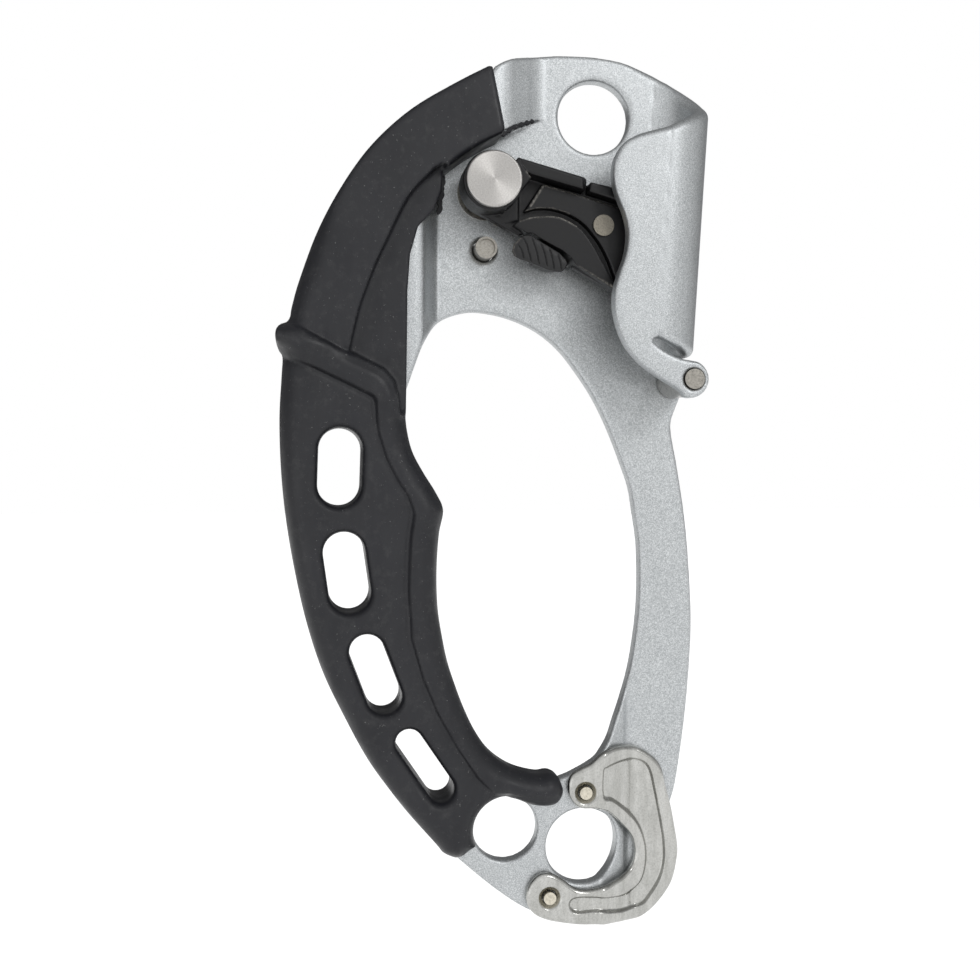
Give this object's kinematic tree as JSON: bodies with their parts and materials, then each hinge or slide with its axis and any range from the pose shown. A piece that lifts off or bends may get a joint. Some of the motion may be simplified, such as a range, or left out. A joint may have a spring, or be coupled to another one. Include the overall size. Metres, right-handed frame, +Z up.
{
  "type": "handled ascender",
  "caption": "Left-hand rope ascender: folded aluminium frame with a moulded rubber handle, toothed cam with safety catch, and a roller at the channel's foot.",
  "frame": {"origin": "on the rope's line through the channel, level with the middle of the cam's head", "axes": "+Z up the handle, nearly along the rope, which leans 3.6 degrees to +X; +Y away from the user, from the folded flap to the flat side; +X towards the rope channel"},
  "size_m": [0.0982, 0.0242, 0.2021],
  "materials": {
    "frame_metal": "bead-blasted light silver",
    "grip_rubber": "matt black moulded rubber",
    "cam_black": "black coated steel",
    "catch_black": "matt black",
    "steel": "turned stainless steel",
    "connector_steel": "pressed stainless steel",
    "roller_dark": "smooth grey",
    "spring_wire": "drawn wire"
  },
  "bodies": {
    "frame_body": {"frame": "frame_metal", "grip": "grip_rubber", "stop_pin": "steel", "cam_pivot_rivet": "steel", "cam_bush": "steel", "cam_washer": "steel", "cam_rivet_washer": "steel", "cam_spring": "spring_wire", "roller_axle": "steel", "roller_bush": "steel", "roller_washer_front": "steel", "roller_washer_back": "steel", "connector_plate": "connector_steel", "connector_rivet_upper": "steel", "connector_rivet_lower": "steel", "rivet_washer_upper": "steel", "rivet_washer_lower": "steel"},
    "cam_body": {"cam": "cam_black", "catch_rivet": "steel", "catch_spring": "spring_wire"},
    "catch_body": {"safety_catch": "catch_black"},
    "roller_body": {"roller": "roller_dark"}
  },
  "joints": [
    {"name": "cam_pivot", "type": "hinge", "parent": "frame_body", "child": "cam_body", "pos_m": [-0.0394, 0, 0.0132], "axis": [0, 1, 0], "range_deg": [0, 50], "stiffness_Nm_per_rad": 0.03, "springref_deg": -45.84},
    {"name": "catch_pivot", "type": "hinge", "parent": "cam_body", "child": "catch_body", "pos_m": [-0.0139, 0, 0.0046], "axis": [0, 1, 0], "range_deg": [-18, 0], "stiffness_Nm_per_rad": 0.005, "springref_deg": 34.38},
    {"name": "roller_spin", "type": "hinge", "parent": "frame_body", "child": "roller_body", "pos_m": [0.00535, 0, -0.03], "axis": [0, 1, 0], "continuous": true}
  ]
}
